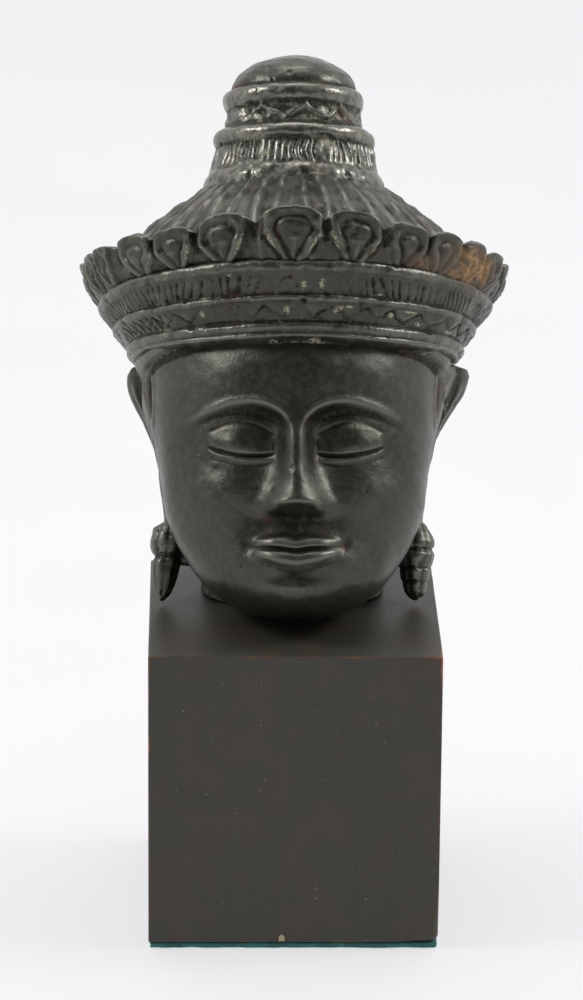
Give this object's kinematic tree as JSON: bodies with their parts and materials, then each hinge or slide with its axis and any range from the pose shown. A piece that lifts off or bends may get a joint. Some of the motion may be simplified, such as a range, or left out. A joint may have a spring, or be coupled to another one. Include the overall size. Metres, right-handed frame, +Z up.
{
  "type": "buddha head sculpture",
  "caption": "Crowned bronze head of a serene deity with petal diadem, ribbed cap and domed finial, long ears and drop earrings, resting on a square dark wood block with a baize foot.",
  "frame": {"origin": "centre of the baize pad's underside, on the surface the stand rests on", "axes": "+Z up; the face looks toward -Y; +X to the viewer's right as seen from the front"},
  "size_m": [0.1538, 0.1691, 0.2924],
  "materials": {
    "bronze": "dark patinated cast bronze, satin with worn highlights and green deposits",
    "wood": "near-black stained and waxed hardwood",
    "baize": "teal green wool baize"
  },
  "bodies": {
    "root": {"head": "bronze", "block": "wood", "pad": "baize"}
  },
  "joints": []
}
